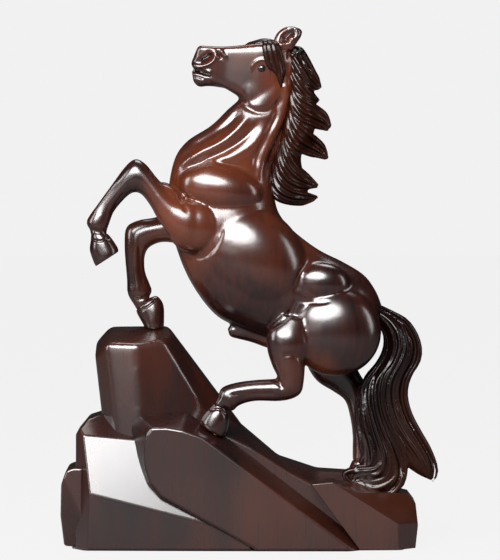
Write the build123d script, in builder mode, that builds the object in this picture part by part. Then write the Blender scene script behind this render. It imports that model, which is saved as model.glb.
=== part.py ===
"""Rearing horse on a rock, carved in polished dark hardwood and built up from doweled sections.

Millimetres. The horse faces -X, +Z is up, and its left side faces -Y. The origin is the centre of
the felt that the statue rests on. Limbs are lofts through elliptical rings, each ring given by the
two (x, z) points where the limb's outline crosses it in side view, and by its half width along Y.
"""

import math
import os

from build123d import *

# ---- driving dimensions -------------------------------------------------------------------------
FELT_THICK = 1.0
LEFT_FORE_Y = -24.0
RIGHT_FORE_Y = 22.0
LEFT_HIND_Y = -25.0
RIGHT_HIND_Y = 21.0
EAR_Y = 8.5
FORELOCK_Y = -12.0
FELT_CORNER = 6.0
EYE_RADIUS = 3.7
EYE_CENTRE = (17.5, 11.8, 367.8)
RING_POINTS = 12  # points that each elliptical ring's curve passes through
BODY_RUN = 4  # steps between rings that one loft of the body spans
LEG_RUN = 2  # and one loft of a leg

DOWEL_8 = 4.0  # dowel radii
DOWEL_6 = 3.0
DOWEL_5 = 2.5
PIN_4 = 2.0
ROCK_DOWEL = 5.0

# ---- rings: (upper x, z), (lower x, z), half width ----------------------------------------------
DOCK = ((110, 185), (106, 169), 8)
NECK_SEAM = ((26, 292), (-48, 301), 19)
HEAD_SEAM = ((42, 337), (-13, 333), 15)
LEFT_FOREARM_SEAM = ((-48, 269.5), (-58, 246.5), 10.5)
RIGHT_FOREARM_SEAM = ((-54, 257.5), (-52, 233.5), 10.5)
LEFT_GASKIN_SEAM = ((22, 150), (50.5, 140), 11.5)
RIGHT_GASKIN_SEAM = ((53, 139), (89, 141), 12.5)
LEFT_FORE_CORONET = ((-112, 241), (-100, 241.5), 6)
RIGHT_FORE_CORONET = ((-79.5, 177.5), (-68, 190), 6)
LEFT_HIND_CORONET = ((-19.5, 110), (-10, 107), 6)
RIGHT_HIND_CORONET = ((88, 63), (101, 62), 6.5)

LEFT_ARM_ROOT = ((-36, 264), (-42, 230), 12)
RIGHT_ARM_ROOT = ((-34, 262), (-34, 232), 12)
LEFT_STIFLE_ROOT = ((23, 168), (56, 156), 12)
RIGHT_STIFLE_ROOT = ((52, 160), (94, 162), 13)

TORSO = [
    DOCK,
    ((105, 197), (96, 152), 20),
    ((96, 209), (74, 140), 27),
    ((80, 219), (48, 146), 28),
    ((62, 228), (24, 159), 27),
    ((46, 239.5), (4, 167), 31),
    ((36, 249), (-18, 178), 34),
    ((30, 258), (-37, 203), 33),
    ((27.5, 268), (-49, 232), 31),
    ((26.5, 279), (-55, 261), 27),
    NECK_SEAM,
]
NECK = [NECK_SEAM, ((31, 305), (-37, 315), 17.5), ((37, 320), (-20, 326), 16), HEAD_SEAM]
POLL = [HEAD_SEAM, ((45, 352), (-2, 348), 14), ((46, 368), (10, 372), 12), ((42, 383), (24, 387), 8)]
SHEATH = [((-8, 171), (-7, 163), 4.5), ((6, 172), (8, 158), 6.5), ((22, 168), (24, 153), 7)]
SKULL = [
    ((-32, 383), (-37, 358), 7.5),
    ((-25, 385), (-30, 354), 10),
    ((-13, 385), (-15, 353), 9),
    ((-3, 385.5), (-7, 349), 10.5),
    ((8, 387), (3, 341), 13.5),
    ((19, 389), (15, 335.5), 15.5),
    ((29, 388), (27, 338), 14.5),
    ((37, 384), (36, 346), 11),
]
EAR = [((28, 386), (41, 383), 4), ((27, 392), (46, 389), 5.5), ((34, 398.5), (47, 395), 4)]
EAR_TIP = (43, 400)
FORELOCK = [((20, 388), (30, 389), 3), ((21, 378), (33, 377), 3.5), ((26, 366), (34, 364), 3)]
FORELOCK_TIP = (32, 352)
LEFT_FORELEG = [
    LEFT_FOREARM_SEAM,
    ((-62, 283.5), (-67.5, 262.5), 10),
    ((-72, 295.5), (-74, 271.5), 9.5),
    ((-80, 298.5), (-79, 273), 9.5),
    ((-88, 292), (-84, 271.5), 8.5),
    ((-98, 277.5), (-91.5, 263.5), 7),
    ((-107, 264.5), (-97, 255), 6.5),
    ((-116.5, 252), (-99.5, 247.5), 7.5),
    ((-114, 244.5), (-100.5, 243.5), 6.5),
    LEFT_FORE_CORONET,
]
RIGHT_FORELEG = [
    RIGHT_FOREARM_SEAM,
    ((-66, 252.5), (-63, 233), 9.5),
    ((-78, 250.5), (-70, 229), 9),
    ((-88, 245), (-73, 223), 8.5),
    ((-89, 232), (-73.5, 216), 7.5),
    ((-88, 215), (-72.5, 209), 6.8),
    ((-87, 203), (-69.5, 201), 7),
    ((-87, 193), (-67, 195.5), 7.8),
    RIGHT_FORE_CORONET,
]
LEFT_HIND_LEG = [
    LEFT_GASKIN_SEAM,
    ((25.5, 139), (50, 131), 10),
    ((29.5, 131), (46.5, 118), 9),
    ((22, 130.3), (27, 113.8), 7.8),
    ((8, 129.3), (9, 112.5), 7.3),
    ((-6, 127), (1, 105.5), 7.8),
    ((-15.5, 119.5), (-4.5, 107.5), 7.2),
    LEFT_HIND_CORONET,
]
RIGHT_HIND_LEG = [
    RIGHT_GASKIN_SEAM,
    ((60, 126), (93, 131), 11.5),
    ((73, 117.5), (97, 124), 9.5),
    ((82, 110.5), (100, 113), 8.5),
    ((86, 98), (100, 99), 7.5),
    ((88, 84), (101, 84), 7),
    ((88, 73), (103, 71), 8),
    RIGHT_HIND_CORONET,
]
LEFT_FORE_HOOF = [LEFT_FORE_CORONET, ((-114, 231), (-93.5, 234.5), 8.5), ((-109.5, 217), (-92, 228.5), 9.5)]
RIGHT_FORE_HOOF = [RIGHT_FORE_CORONET, ((-76.5, 173.5), (-60, 184), 8.5), ((-74, 168.5), (-58.5, 168), 9.5)]
LEFT_HIND_HOOF = [LEFT_HIND_CORONET, ((-25, 102), (-9.5, 100), 8.5), ((-28.5, 96), (-10.5, 92), 9.5)]
RIGHT_HIND_HOOF = [RIGHT_HIND_CORONET, ((85, 57), (103, 56.5), 8.5), ((82, 50), (104, 50), 9.5)]
TAIL = [
    DOCK,
    ((119, 181), (111, 164), 9.5),
    ((131, 173), (114.5, 158), 11),
    ((138.5, 160), (115, 150), 12),
    ((140, 147), (111, 142), 12.5),
    ((135, 136), (103, 133), 13),
    ((129.5, 122), (95, 121), 13),
    ((130, 108), (88, 106), 13),
    ((134, 97), (88, 92), 13),
    ((137, 86), (89, 78), 13),
    ((134, 72), (88, 67), 13),
    ((130, 57), (83, 56), 12.5),
    ((124, 38), (90, 40), 11),
]
TAIL_FLARE = [
    ((133, 100), (116, 92), 8),
    ((142, 84), (124, 74), 9),
    ((150, 69), (132, 60), 8),
    ((153.3, 57), (143, 51.5), 5),
]
TAIL_FLARE_TIP = (148, 48)
MANE = [
    ((50, 383), (36, 382), 9),
    ((57, 365), (36, 362), 14),
    ((64, 351), (34, 345), 17),
    ((71, 328), (30, 325), 19),
    ((68, 306), (26, 305), 20),
    ((60, 288), (22, 285), 19),
    ((60, 268), (24, 266), 15),
]
MANE_FACE = ((40.5, 386), (26.5, 262), 0)

# ---- muscles: centre (x, z), half length, half depth, half width, slope in degrees, distance off centre
MUSCLES = [
    ((-15, 275), 33, 16.5, 15, -6, 17),
    ((-34, 247), 19, 20, 13, 0, 21),
    ((70, 172), 35, 34, 19, 0, 16),
    ((63, 203), 21, 14, 13, -8, 16),
    ((36, 162), 15, 15, 12, 0, 22),
]

# ---- rocks: outlines in (x, z), horizontal sections in (x, y), and where each block's faces lie --
SLAB_FRONT = [(-66, 94.5), (-40, 94.5), (-26, 88), (88, 1), (15, 1), (-60, 42), (-71, 62), (-72, 86)]
SLAB_BACK = [(-86, 105), (-40, 105), (-10, 86), (100, 1), (0, 1), (-66, 36), (-80, 62), (-87, 97)]
SLAB_FACE_Y = -48.0
SLAB_GLUE_Y = -19.0
PILLAR_FOOT_Z = 70.0
PILLAR_FOOT = [(-102, 34), (-102, -12), (-92, -26), (-74, -30), (-4, -8), (18, 14), (18, 34)]
PILLAR_HEAD_Z = 175.0
PILLAR_HEAD = [(-114, 30), (-114, -8), (-104, -20), (-80, -25), (-67, -19), (-60, 0), (-60, 30)]
PILLAR_TOP = ((-85, -26, 157), (-60, -26, 157.5), (-70, 26, 168))
PILLAR_BROW = ((-112.5, 0, 149), (-101, 0, 162), (-110, -26, 147))
SHOULDER = [(-125, 1), (-125, 88), (-116, 99), (-102, 103.5), (-70, 103.5), (-20, 80), (10, 1)]
SHOULDER_FACE_Y = -44.0
SHOULDER_BACK_Y = 34.0
SHOULDER_LIT_FACET = ((-117, -44, 45), (-70, -44, 31), (-110, -34, 78))
SHOULDER_BROW_FACET = ((-122, -33, 73), (-88, -36, 83), (-100, -22, 104))
CORNER = [(-119, 1), (-134.5, 1), (-137, 25), (-136, 50), (-132, 61), (-127, 63), (-119, 63)]
CORNER_FACE_Y = -34.0
CORNER_BACK_Y = 24.0
CORNER_FACET = ((-132, -34, 50), (-120, -34, 24), (-136.5, -24, 30))
RIDGE_FRONT = [
    (10, 1), (-20, 80), (-12, 88), (10, 77), (40, 58),
    (57, 49), (84, 44), (108, 38), (112, 1),
]
RIDGE_CREST = [
    (10, 1), (-20, 80), (-14, 104), (0, 92.5), (30, 67),
    (60, 57), (84, 55.5), (110, 52), (112, 1),
]
RIDGE_FACE_Y = -19.0
RIDGE_CREST_Y = 10.0
RIDGE_BACK_Y = 40.0
END = [(55, 51), (72, 52.5), (92, 44), (124, 41), (131, 39.5), (136, 33), (137, 18), (135, 1), (92, 1)]
END_FACE_Y = -41.0
END_BACK_Y = 38.0
END_TOP_FACET = ((72, -41, 52), (121, -41, 21), (110, -20, 41))
END_CORNER_FACET = ((121, -41, 21), (122, -41, 1), (137, -26, 18))
FELT = [
    (-128, -22), (-118, -38), (8, -42), (84, -43), (92, -36),
    (126, -34), (128, 30), (6, 34), (-116, 28), (-128, 18),
]


# ---- shared shapes --------------------------------------------------------------------------------
def ring(upper, lower, half_width, y=0.0):
    """The ellipse across a limb whose outline is crossed at the points upper and lower."""
    across = Vector(upper[0] - lower[0], 0, upper[1] - lower[1])
    centre = ((upper[0] + lower[0]) / 2, y, (upper[1] + lower[1]) / 2)
    turns = [2 * math.pi * k / RING_POINTS for k in range(RING_POINTS)]
    half_depth = across.length / 2
    with BuildSketch(Plane(origin=centre, x_dir=across, z_dir=across.cross(Vector(0, 1, 0)))) as section:
        with BuildLine():
            Spline(*[(half_depth * math.cos(t), half_width * math.sin(t)) for t in turns], periodic=True)
        make_face()
    return section.sketch


def skin(stations, y=0.0, end=None, run=BODY_RUN):
    """A limb through rings, as lofts of a few rings each; end, an (x, z) point, closes the last one."""
    with BuildPart() as limb:
        start = 0
        while start < len(stations) - 1:
            stop = min(start + run, len(stations) - 1)
            if len(stations) - 1 - stop == 1:
                stop = len(stations) - 1
            sections = [ring(*station, y=y) for station in stations[start:stop + 1]]
            if end and stop == len(stations) - 1:
                sections.append(Vertex(end[0], y, end[1]))
            loft(sections)
            start = stop
    return limb.part


def outline(points, y):
    """A closed polygon of (x, z) points on the upright plane at y."""
    with BuildSketch(Plane.XZ.offset(-y)) as section:
        with BuildLine():
            Polyline(*points, close=True)
        make_face()
    return section.sketch


def level(points, z):
    """A closed polygon of (x, y) points on the level plane at z."""
    with BuildSketch(Plane.XY.offset(z)) as section:
        with BuildLine():
            Polyline(*points, close=True)
        make_face()
    return section.sketch


def facet(points, outward):
    """The plane through three points, facing the outward side."""
    first, second, third = (Vector(*point) for point in points)
    normal = (second - first).cross(third - first)
    if normal.dot(Vector(*outward)) < 0:
        normal = normal * -1
    return Plane(origin=first, z_dir=normal)


def seam_plane(station, outward):
    """The plane of a seam: through a ring's upper and lower points, square to the side view."""
    (ux, uz), (lx, lz), _ = station
    return facet([(ux, 0, uz), (lx, 0, lz), (lx, 1, lz)], outward)


def bulge(centre, half_long, half_deep, half_wide, slope, y):
    """An ellipsoidal muscle, its long axis rising at slope degrees from +X in side view."""
    muscle = scale(Sphere(1, mode=Mode.PRIVATE), by=(half_long, half_wide, half_deep), mode=Mode.PRIVATE)
    return Pos(centre[0], y, centre[1]) * Rot(0, -slope, 0) * muscle


def rod(centre, direction, radius, half_length):
    """A dowel or pin through centre, lying along direction."""
    way = Vector(*direction).normalized()
    start = Vector(*centre) - way * half_length
    with BuildPart() as bar:
        with BuildSketch(Plane(origin=start, z_dir=way)):
            Circle(radius)
        extrude(amount=2 * half_length)
    return bar.part


def seam_rod(station, radius, half_length, y=0.0, share=0.5):
    """A dowel square to a ring, at that share of the way from its lower point to its upper one."""
    (ux, uz), (lx, lz), _ = station
    centre = (lx + (ux - lx) * share, y, lz + (uz - lz) * share)
    return rod(centre, (lz - uz, 0, ux - lx), radius, half_length)


# ---- dowels and pins, made first because the sections are bored for them --------------------------
RODS = {
    "neck_dowels": [seam_rod(NECK_SEAM, DOWEL_8, 15, share=s) for s in (0.3, 0.7)],
    "head_dowels": [seam_rod(HEAD_SEAM, DOWEL_6, 12, share=s) for s in (0.35, 0.7)],
    "foreleg_dowels": [
        seam_rod(LEFT_FOREARM_SEAM, DOWEL_6, 10, LEFT_FORE_Y),
        seam_rod(RIGHT_FOREARM_SEAM, DOWEL_6, 10, RIGHT_FORE_Y),
    ],
    "hind_leg_dowels": [
        seam_rod(LEFT_GASKIN_SEAM, DOWEL_6, 9, LEFT_HIND_Y),
        seam_rod(RIGHT_GASKIN_SEAM, DOWEL_6, 10, RIGHT_HIND_Y),
    ],
    "tail_dowel": [seam_rod(DOCK, DOWEL_5, 9)],
    "mane_dowels": [seam_rod(MANE_FACE, DOWEL_5, 8, share=s) for s in (0.38, 0.75)],
    "hoof_pins": [
        seam_rod(LEFT_FORE_CORONET, PIN_4, 6, LEFT_FORE_Y),
        seam_rod(RIGHT_FORE_CORONET, PIN_4, 6, RIGHT_FORE_Y),
        seam_rod(LEFT_HIND_CORONET, PIN_4, 5, LEFT_HIND_Y),
        seam_rod(RIGHT_HIND_CORONET, PIN_4, 5, RIGHT_HIND_Y),
    ],
    "ground_pins": [
        rod((-67, RIGHT_FORE_Y, 167), (0, 0, 1), PIN_4, 9),
        rod((-18, LEFT_HIND_Y, 92), (0.2, 0, 1), PIN_4, 7),
        rod((93, RIGHT_HIND_Y, 50), (0, 0, 1), PIN_4, 6),
    ],
    "rock_dowels": [
        rod((-40, SLAB_GLUE_Y, 70), (0, 1, 0), ROCK_DOWEL, 12),
        rod((30, SLAB_GLUE_Y, 25), (0, 1, 0), ROCK_DOWEL, 12),
        rod((-60, 16, PILLAR_FOOT_Z), (0, 0, 1), ROCK_DOWEL, 14),
        rod((-119, -5, 30), (1, 0, 0), ROCK_DOWEL, 11),
        rod((112, 12, 20), (1, 0, 0), ROCK_DOWEL, 14),
    ],
}


def bore(*names):
    """Drills the part being built for the named dowels."""
    for name in names:
        for bar in RODS[name]:
            add(bar, mode=Mode.SUBTRACT)


def clear(*pieces):
    """Cuts the part being built back to the faces of the pieces that it meets."""
    for piece in pieces:
        add(piece, mode=Mode.SUBTRACT)


# ---- mane, and the body that it is glued to -------------------------------------------------------
with BuildPart() as mane:
    add(skin(MANE))
    split(bisect_by=seam_plane(MANE_FACE, (1, 0, 0)), keep=Keep.TOP)
    mane_block = mane.part
    bore("mane_dowels")

with BuildPart() as torso:
    add(skin(TORSO))
    for side in (-1, 1):
        for *muscle, off_centre in MUSCLES:
            add(bulge(*muscle, side * off_centre))
    add(skin([LEFT_ARM_ROOT, LEFT_FOREARM_SEAM], LEFT_FORE_Y))
    add(skin([RIGHT_ARM_ROOT, RIGHT_FOREARM_SEAM], RIGHT_FORE_Y))
    add(skin([LEFT_STIFLE_ROOT, LEFT_GASKIN_SEAM], LEFT_HIND_Y))
    add(skin([RIGHT_STIFLE_ROOT, RIGHT_GASKIN_SEAM], RIGHT_HIND_Y))
    add(skin(SHEATH))
    clear(mane_block)
    torso_block = torso.part
    bore("neck_dowels", "foreleg_dowels", "hind_leg_dowels", "tail_dowel")

with BuildPart() as neck:
    add(skin(NECK))
    clear(mane_block)
    bore("neck_dowels", "head_dowels", "mane_dowels")

# ---- head, with its ears, eyes and forelock -------------------------------------------------------
with BuildPart() as eyes:
    with Locations(*[(EYE_CENTRE[0], side * EYE_CENTRE[1], EYE_CENTRE[2]) for side in (1, -1)]):
        Sphere(EYE_RADIUS)

with BuildPart() as head:
    add(skin(SKULL))
    add(skin(POLL))
    split(bisect_by=seam_plane(HEAD_SEAM, (0, 0, 1)), keep=Keep.TOP)
    for side in (-1, 1):
        add(skin(EAR, side * EAR_Y, EAR_TIP))
    clear(mane_block)
    head_block = head.part
    clear(eyes.part)
    bore("head_dowels", "mane_dowels")

with BuildPart() as forelock:
    add(skin(FORELOCK, FORELOCK_Y, FORELOCK_TIP))
    clear(head_block, mane_block)

# ---- rocks ----------------------------------------------------------------------------------------
with BuildPart() as rock_slab:
    loft([outline(SLAB_FRONT, SLAB_FACE_Y), outline(SLAB_BACK, SLAB_GLUE_Y)], ruled=True)
    slab_block = rock_slab.part
    bore("rock_dowels", "ground_pins")

with BuildPart() as rock_pillar:
    loft([level(PILLAR_FOOT, PILLAR_FOOT_Z), level(PILLAR_HEAD, PILLAR_HEAD_Z)], ruled=True)
    split(bisect_by=facet(PILLAR_TOP, (0, 0, 1)), keep=Keep.BOTTOM)
    split(bisect_by=facet(PILLAR_BROW, (-1, 0, 1)), keep=Keep.BOTTOM)
    clear(slab_block)
    pillar_block = rock_pillar.part
    bore("rock_dowels", "ground_pins")

with BuildPart() as rock_shoulder:
    extrude(outline(SHOULDER, SHOULDER_BACK_Y), amount=SHOULDER_BACK_Y - SHOULDER_FACE_Y)
    split(bisect_by=facet(SHOULDER_LIT_FACET, (0, -1, 1)), keep=Keep.BOTTOM)
    split(bisect_by=facet(SHOULDER_BROW_FACET, (0, -1, 1)), keep=Keep.BOTTOM)
    clear(slab_block, pillar_block)
    shoulder_block = rock_shoulder.part
    bore("rock_dowels")

with BuildPart() as rock_corner:
    extrude(outline(CORNER, CORNER_BACK_Y), amount=CORNER_BACK_Y - CORNER_FACE_Y)
    split(bisect_by=facet(CORNER_FACET, (-1, -1, 0)), keep=Keep.BOTTOM)
    clear(shoulder_block)
    bore("rock_dowels")

with BuildPart() as rock_ridge:
    loft([outline(RIDGE_FRONT, RIDGE_FACE_Y), outline(RIDGE_CREST, RIDGE_CREST_Y)], ruled=True)
    extrude(outline(RIDGE_CREST, RIDGE_BACK_Y), amount=RIDGE_BACK_Y - RIDGE_CREST_Y)
    clear(slab_block, pillar_block, shoulder_block)
    ridge_block = rock_ridge.part
    bore("rock_dowels", "ground_pins")

with BuildPart() as rock_end:
    extrude(outline(END, END_BACK_Y), amount=END_BACK_Y - END_FACE_Y)
    split(bisect_by=facet(END_TOP_FACET, (0, -1, 1)), keep=Keep.BOTTOM)
    split(bisect_by=facet(END_CORNER_FACET, (1, -1, 0)), keep=Keep.BOTTOM)
    clear(slab_block, ridge_block)
    end_block = rock_end.part
    bore("rock_dowels", "ground_pins")

with BuildPart() as base_felt:
    extrude(level(FELT, 0), amount=FELT_THICK)
    fillet(base_felt.edges().filter_by(Axis.Z), FELT_CORNER)

# ---- legs and hooves ------------------------------------------------------------------------------
LIMBS = (
    ("left_fore", LEFT_FORELEG, LEFT_FORE_HOOF, LEFT_FORE_Y),
    ("right_fore", RIGHT_FORELEG, RIGHT_FORE_HOOF, RIGHT_FORE_Y),
    ("left_hind", LEFT_HIND_LEG, LEFT_HIND_HOOF, LEFT_HIND_Y),
    ("right_hind", RIGHT_HIND_LEG, RIGHT_HIND_HOOF, RIGHT_HIND_Y),
)
limbs = {}
for side, leg_rings, hoof_rings, y in LIMBS:
    with BuildPart() as leg:
        add(skin(leg_rings, y, run=LEG_RUN))
        clear(torso_block)
        bore("foreleg_dowels", "hind_leg_dowels", "hoof_pins")
    with BuildPart() as hoof:
        add(skin(hoof_rings, y))
        clear(pillar_block, slab_block, ridge_block, end_block)
        bore("hoof_pins", "ground_pins")
    limbs[f"{side}leg" if side.endswith("fore") else f"{side}_leg"] = leg
    limbs[f"{side}_hoof"] = hoof

# ---- tail -----------------------------------------------------------------------------------------
with BuildPart() as tail:
    add(skin(TAIL))
    add(skin(TAIL_FLARE, end=TAIL_FLARE_TIP))
    clear(torso_block, slab_block, ridge_block, end_block)
    bore("tail_dowel")

# ---- labels and files -----------------------------------------------------------------------------
groups = {}
for name, bars in RODS.items():
    with BuildPart() as groups[name]:
        for bar in bars:
            add(bar)

pieces = {
    "base_felt": base_felt,
    "rock_slab": rock_slab,
    "rock_pillar": rock_pillar,
    "rock_shoulder": rock_shoulder,
    "rock_corner": rock_corner,
    "rock_ridge": rock_ridge,
    "rock_end": rock_end,
    "torso": torso,
    "neck": neck,
    "head": head,
    "eyes": eyes,
    "forelock": forelock,
    "mane": mane,
    "tail": tail,
    **limbs,
    **groups,
}
os.makedirs("parts", exist_ok=True)
for name, piece in pieces.items():
    piece.part.label = name
    export_step(piece.part, f"parts/{name}.step")
    box = piece.part.bounding_box()
    print(f"{name:16s} {len(piece.part.solids())} solid(s) {piece.part.volume:9.0f} mm3 "
          f"x {box.min.X:.1f}..{box.max.X:.1f} y {box.min.Y:.1f}..{box.max.Y:.1f} "
          f"z {box.min.Z:.1f}..{box.max.Z:.1f} valid {piece.part.is_valid}")
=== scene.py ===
"""A rearing horse on a faceted rock, carved in dark lacquered hardwood.

Lengths in the tables are millimetres in the statue's frame: the horse faces -X, its left side faces
-Y and +Z is up. Meshes are scaled to metres as they are made. Lights and camera are in metres.
"""

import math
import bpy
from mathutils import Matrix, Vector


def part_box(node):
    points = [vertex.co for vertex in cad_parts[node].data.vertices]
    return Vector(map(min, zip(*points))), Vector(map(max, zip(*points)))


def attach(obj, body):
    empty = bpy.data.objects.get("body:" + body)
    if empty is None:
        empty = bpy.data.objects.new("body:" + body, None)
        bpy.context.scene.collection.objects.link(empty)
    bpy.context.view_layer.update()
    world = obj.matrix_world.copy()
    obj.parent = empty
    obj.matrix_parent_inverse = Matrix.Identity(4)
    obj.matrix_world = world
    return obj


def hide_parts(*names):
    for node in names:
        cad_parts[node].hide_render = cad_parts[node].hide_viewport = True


bl_info = {
    "name": "Rearing Horse Carving",
    "version": (1, 0, 0),
    "blender": (4, 5, 0),
    "location": "3D View > Sidebar > Horse Carving",
    "description": "Carves a rearing horse on a rock, with its mane, tail and lacquered wood finish",
    "category": "Add Mesh",
}

import bmesh
import bpy
import numpy as np
from mathutils import Matrix, Vector
from mathutils.bvhtree import BVHTree

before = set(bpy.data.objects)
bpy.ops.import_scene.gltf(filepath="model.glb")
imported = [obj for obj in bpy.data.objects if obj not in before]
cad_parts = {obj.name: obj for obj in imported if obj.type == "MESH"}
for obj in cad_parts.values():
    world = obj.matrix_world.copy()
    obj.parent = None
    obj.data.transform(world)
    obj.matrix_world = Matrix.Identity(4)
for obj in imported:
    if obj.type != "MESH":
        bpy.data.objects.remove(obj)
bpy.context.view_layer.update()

MM = 0.001
NEAR = -1  # the horse's left side, which faces -Y
FAR = 1
BOTH = (NEAR, FAR)

# How far to the side each leg, ear and eye stands.
LEFT_FORE_Y = -24.0
RIGHT_FORE_Y = 22.0
LEFT_HIND_Y = -25.0
RIGHT_HIND_Y = 21.0
EAR_Y = 8.5
EYE_Y = 12.0
EYE_RADIUS = 3.7


# ---- the horse: rings as (upper x, upper z, lower x, lower z, half width) -------------------------
BARREL = [
    (110, 185, 106, 169, 8), (105, 197, 96, 152, 20), (96, 209, 74, 140, 27), (80, 219, 48, 146, 28),
    (62, 228, 24, 159, 27), (46, 239.5, 4, 167, 31), (36, 249, -18, 178, 34), (30, 258, -37, 203, 33),
    (27.5, 268, -49, 232, 31), (26.5, 279, -55, 261, 27), (26, 292, -51, 294, 20),
    (31, 305, -41, 311, 17.5), (36, 320, -22, 323.5, 15.5), (41, 337, -9, 336, 14),
    (45, 352, 2, 347, 13.5), (46, 368, 12, 370, 12), (42, 382, 24, 386, 8),
]
SKULL = [
    (-33.5, 380, -37, 371.5, 3.5), (-31, 384.8, -34.5, 367.5, 6.6), (-26, 385, -27, 366, 8.6),
    (-18, 384.6, -21, 357, 8.4), (-9, 384.6, -12, 353, 8.6), (0, 385.3, -2, 347, 10.5),
    (9, 386.5, 8, 339.5, 12.5), (19, 387.5, 17, 336.5, 14), (29, 387, 27, 339, 13.5),
    (37, 383, 35, 347, 10),
]
SKULL_FULLNESS = 0.32  # the skull's rings are squarer than ellipses, which have 1
SKULL_LEAN = 0.12  # and wider towards the top by this share
LOWER_JAW = [
    (-36.5, 366, -35, 357, 3.5), (-32, 366, -30.5, 353.2, 5.6), (-24, 366, -24, 354, 5.6),
    (-12, 366, -12, 352.6, 6),
]
LEFT_FORELEG = [
    (-22, 258, -26, 236, 6), (-34, 266, -40, 229, 12), (-48, 269.5, -58, 246.5, 11),
    (-62, 283.5, -67.5, 262.5, 10), (-71, 294.5, -74, 271, 9.6), (-79, 298.6, -79, 273, 9.6),
    (-87, 292.5, -84, 271, 8.6), (-98, 277.5, -91, 264, 7), (-107.5, 264.5, -96, 257, 6.4),
    (-116.5, 251, -99.5, 247.5, 7.4), (-113.5, 244, -101, 243, 6.2), (-113.5, 240, -100.5, 240.5, 6.4),
]
RIGHT_FORELEG = [
    (-24, 254, -20, 234, 6), (-38, 260, -34, 229, 12), (-54, 256, -52, 233, 11),
    (-66, 252.5, -62, 233, 9.6), (-78, 250.5, -70, 229, 9), (-87.5, 245, -73, 223, 8.5),
    (-89, 231, -73.5, 216, 7.6), (-88, 215, -72.5, 209, 6.8), (-87, 203, -69.5, 201.5, 7),
    (-86.5, 193, -67.5, 195.5, 7.6), (-81.5, 184.5, -69.5, 191.5, 6.4), (-79, 180, -69, 189.5, 6.4),
]
LEFT_HIND_LEG = [
    (33, 180, 55, 174, 6), (22, 167, 56, 157, 12), (21.5, 153, 51, 144, 11.6), (25.5, 140, 50, 132, 10.4),
    (29.5, 131.5, 47, 119, 9.2), (25, 130.5, 34, 113.6, 8.2), (10, 129.5, 12, 113.4, 7.4),
    (-4, 127.3, 0, 110, 7.8), (-13.5, 123.5, -4, 106, 8), (-16.5, 116, -7, 106, 6.6),
    (-19, 111.5, -9, 106.5, 6.6),
]
RIGHT_HIND_LEG = [
    (57, 178, 87, 178, 7), (52, 158, 93, 158, 13.5), (52, 140, 90, 141, 13), (60, 126, 94, 131, 11.5),
    (73, 117.5, 98, 124, 9.8), (82, 110.5, 100.5, 113, 8.6), (86, 98, 100, 99, 7.5), (88, 84, 101, 84, 7),
    (88, 73, 103, 71, 8), (88, 63, 101, 62, 6.5),
]
LEGS = (
    (LEFT_FORELEG, LEFT_FORE_Y), (RIGHT_FORELEG, RIGHT_FORE_Y),
    (LEFT_HIND_LEG, LEFT_HIND_Y), (RIGHT_HIND_LEG, RIGHT_HIND_Y),
)
SHEATH = [
    (-9, 168, -7.5, 162, 3.2), (-5, 171, -5, 160.5, 4.8), (8, 172, 9, 157, 6), (22, 170, 22, 152.5, 6.8),
    (30, 168, 28, 152, 6),
]
EAR = [
    (27, 385, 41, 381, 4), (26.2, 389, 44.5, 387, 5.5), (29.5, 395.5, 47.6, 391.5, 5.6),
    (35.5, 399.4, 48.6, 396, 4.6), (41, 400, 47, 398, 2.6),
]

# Muscles as (x, z, half long, half deep, half wide, slope in degrees, distance from the mid-plane).
MUSCLES = [
    (10, 223, 47, 37, 24, -42, 14), (-14, 275.5, 32, 18.5, 15, -11, 18), (-34, 247, 21, 20.5, 13, 0, 22),
    (-52, 268, 16, 8, 9, -42, 22), (74, 166, 35, 34, 18, 0, 18.5), (64, 203.5, 21, 15.5, 11, -6, 19),
    (34.5, 161, 13.5, 15.5, 12, 0, 23), (19, 351, 15.5, 15, 2.6, 0, 10.5),
    (18, 371, 8, 6, 3.4, -10, 10.5), (-26, 376.5, 8, 6.5, 4.5, 20, 4.5),
]

# Strokes of the carver's tools as (points, width, height); a groove's height is below zero.
BODY_STROKES = [
    ([(-44, 287), (-36, 293.5), (-20, 296.5), (-2, 293), (10, 286), (18, 277)], 3.0, -0.8),
    ([(-48, 229), (-38, 223.5), (-28, 224), (-20, 230), (-15, 239), (-12, 250)], 2.2, -0.8),
    ([(-55, 283), (-48, 276), (-43, 266), (-39, 257)], 1.6, -0.8),
    ([(44, 191.5), (52, 189.4), (61, 188.8), (70, 190)], 1.4, -0.7),
    ([(57, 219), (48, 213), (44, 205), (43, 196)], 2.6, -0.6),
    ([(44.5, 193), (39.5, 182), (33, 175.8), (21, 170)], 1.8, -1.6),
    ([(32, 148.8), (41, 149.6), (49, 145), (52, 138.5)], 1.8, -0.9),
]
NECK_STROKES = [
    ([(8, 333), (-1, 321), (-14, 310.5), (-30, 302.5), (-46, 292)], 3.0, 2.2),
    ([(15, 327), (4, 314.5), (-10, 305), (-25, 298), (-40, 290.5)], 2.4, -1.8),
    ([(25, 327), (13, 311), (-1, 302), (-17, 296), (-34, 291)], 4.0, 1.3),
    ([(2, 337), (-9, 325), (-23, 316), (-38, 307)], 2.6, -1.4),
    ([(36, 364), (37, 354), (36, 343), (32, 329), (25, 315), (19, 301), (16.5, 288), (16, 278)], 2.8, 1.3),
    ([(31, 346), (28, 331), (20.5, 316), (14, 301), (11.5, 289)], 2.2, -1.1),
    ([(40, 350), (40, 340), (37, 328), (30.5, 314), (24.5, 300), (22, 288)], 1.6, -1.6),
    ([(-3, 351), (1, 343.5), (7, 337.5), (15, 334.5), (24, 336), (31, 342.5), (34, 351)], 2.4, -1.2),
]
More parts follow.
